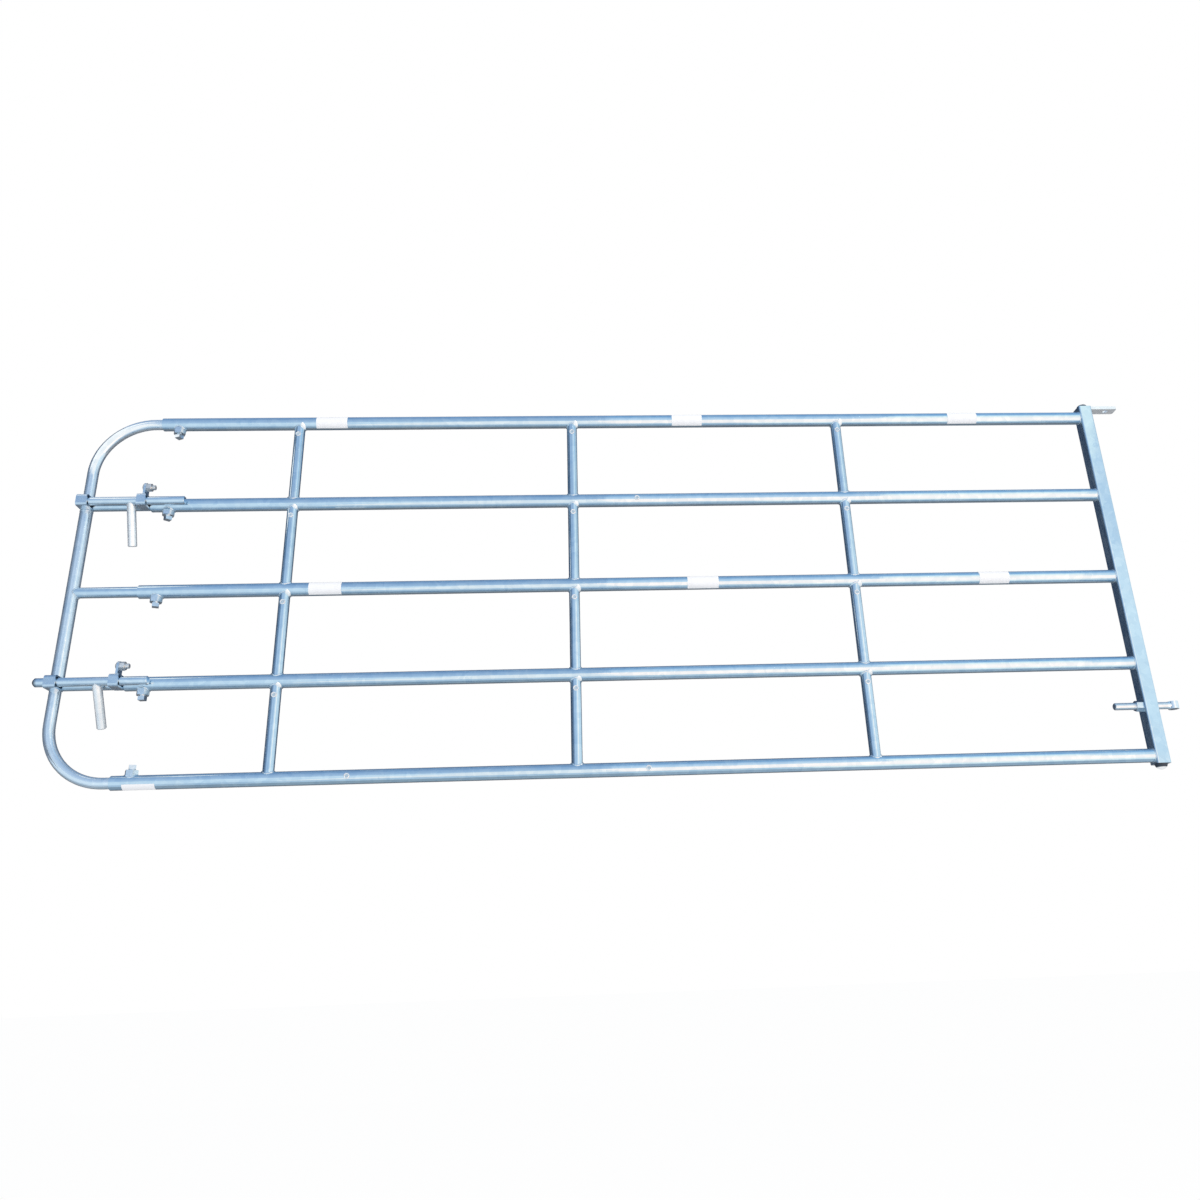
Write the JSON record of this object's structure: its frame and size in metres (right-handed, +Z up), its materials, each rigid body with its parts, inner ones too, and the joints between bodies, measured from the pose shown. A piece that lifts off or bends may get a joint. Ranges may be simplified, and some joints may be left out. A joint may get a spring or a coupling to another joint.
{
  "type": "extendable field gate",
  "caption": "Extendable field gate leaf of round tube on a square hinge post, with an extension that slides out of its rails, clamp screws and sliding hand latches.",
  "frame": {"origin": "on the hinge axis, at half the thickness of the upper hinge eye", "axes": "+Z up along the hinge axis, +X from the latch end towards the hinges and out of the post, -Y the front, where the latch bars are"},
  "size_m": [3.126, 0.0936, 1.148],
  "materials": {
    "galvanised_tube": "hot-dip zinc, cool grey-blue, satin",
    "zinc_fastener": "zinc-plated steel, duller than the tubes",
    "plug": "pale moulded plastic"
  },
  "bodies": {
    "leaf": {"hinge_post": "galvanised_tube", "post_plugs": "plug", "upper_hinge_eye": "galvanised_tube", "adjuster_nuts": "zinc_fastener", "outer_rail_1": "galvanised_tube", "outer_rail_2": "galvanised_tube", "outer_rail_3": "galvanised_tube", "outer_rail_4": "galvanised_tube", "outer_rail_5": "galvanised_tube", "strut_left_1": "galvanised_tube", "strut_left_2": "galvanised_tube", "strut_left_3": "galvanised_tube", "strut_left_4": "galvanised_tube", "strut_middle_1": "galvanised_tube", "strut_middle_2": "galvanised_tube", "strut_middle_3": "galvanised_tube", "strut_middle_4": "galvanised_tube", "strut_right_1": "galvanised_tube", "strut_right_2": "galvanised_tube", "strut_right_3": "galvanised_tube", "strut_right_4": "galvanised_tube", "clamp_nuts": "zinc_fastener"},
    "extension": {"top_inner_tube": "galvanised_tube", "bottom_inner_tube": "galvanised_tube", "inner_rail_2": "galvanised_tube", "inner_rail_3": "galvanised_tube", "inner_rail_4": "galvanised_tube", "upright_sleeve": "galvanised_tube", "upper_outer_guide": "galvanised_tube", "lower_outer_guide": "galvanised_tube", "upper_inner_guide": "galvanised_tube", "lower_inner_guide": "galvanised_tube", "keeper_bolts": "zinc_fastener", "keeper_nuts": "zinc_fastener"},
    "lower_eye_bolt": {"lower_eye_bolt": "zinc_fastener"},
    "clamp_screw_1": {"clamp_screw_1": "zinc_fastener"},
    "clamp_screw_2": {"clamp_screw_2": "zinc_fastener"},
    "clamp_screw_3": {"clamp_screw_3": "zinc_fastener"},
    "clamp_screw_4": {"clamp_screw_4": "zinc_fastener"},
    "clamp_screw_5": {"clamp_screw_5": "zinc_fastener"},
    "upper_latch_bar": {"upper_latch_bar": "galvanised_tube"},
    "upper_latch_handle": {"upper_latch_handle": "galvanised_tube"},
    "lower_latch_bar": {"lower_latch_bar": "galvanised_tube"},
    "lower_latch_handle": {"lower_latch_handle": "galvanised_tube"}
  },
  "joints": [
    {"name": "extension_slide", "type": "slide", "parent": "leaf", "child": "extension", "axis": [-1, 0, 0], "range_m": [0, 1]},
    {"name": "eye_bolt_adjust", "type": "slide", "parent": "leaf", "child": "lower_eye_bolt", "axis": [1, 0, 0], "range_m": [-0.018, 0.03]},
    {"name": "clamp_1_release", "type": "slide", "parent": "leaf", "child": "clamp_screw_1", "axis": [0, 0, -1], "range_m": [0, 0.008]},
    {"name": "clamp_2_release", "type": "slide", "parent": "leaf", "child": "clamp_screw_2", "axis": [0, 0, -1], "range_m": [0, 0.008]},
    {"name": "clamp_3_release", "type": "slide", "parent": "leaf", "child": "clamp_screw_3", "axis": [0, 0, -1], "range_m": [0, 0.008]},
    {"name": "clamp_4_release", "type": "slide", "parent": "leaf", "child": "clamp_screw_4", "axis": [0, 0, -1], "range_m": [0, 0.008]},
    {"name": "clamp_5_release", "type": "slide", "parent": "leaf", "child": "clamp_screw_5", "axis": [0, 0, 1], "range_m": [0, 0.008]},
    {"name": "upper_latch_slide", "type": "slide", "parent": "extension", "child": "upper_latch_bar", "axis": [-1, 0, 0], "range_m": [-0.007, 0.1]},
    {"name": "upper_handle_turn", "type": "hinge", "parent": "upper_latch_bar", "child": "upper_latch_handle", "pos_m": [-2.9175, -0.033, -0.294], "axis": [1, 0, 0], "range_deg": [-234, 10]},
    {"name": "lower_latch_slide", "type": "slide", "parent": "extension", "child": "lower_latch_bar", "axis": [-1, 0, 0], "range_m": [-0.023, 0.086]},
    {"name": "lower_handle_turn", "type": "hinge", "parent": "lower_latch_bar", "child": "lower_latch_handle", "pos_m": [-2.9335, -0.033, -0.824], "axis": [1, 0, 0], "range_deg": [-243, 2]}
  ]
}
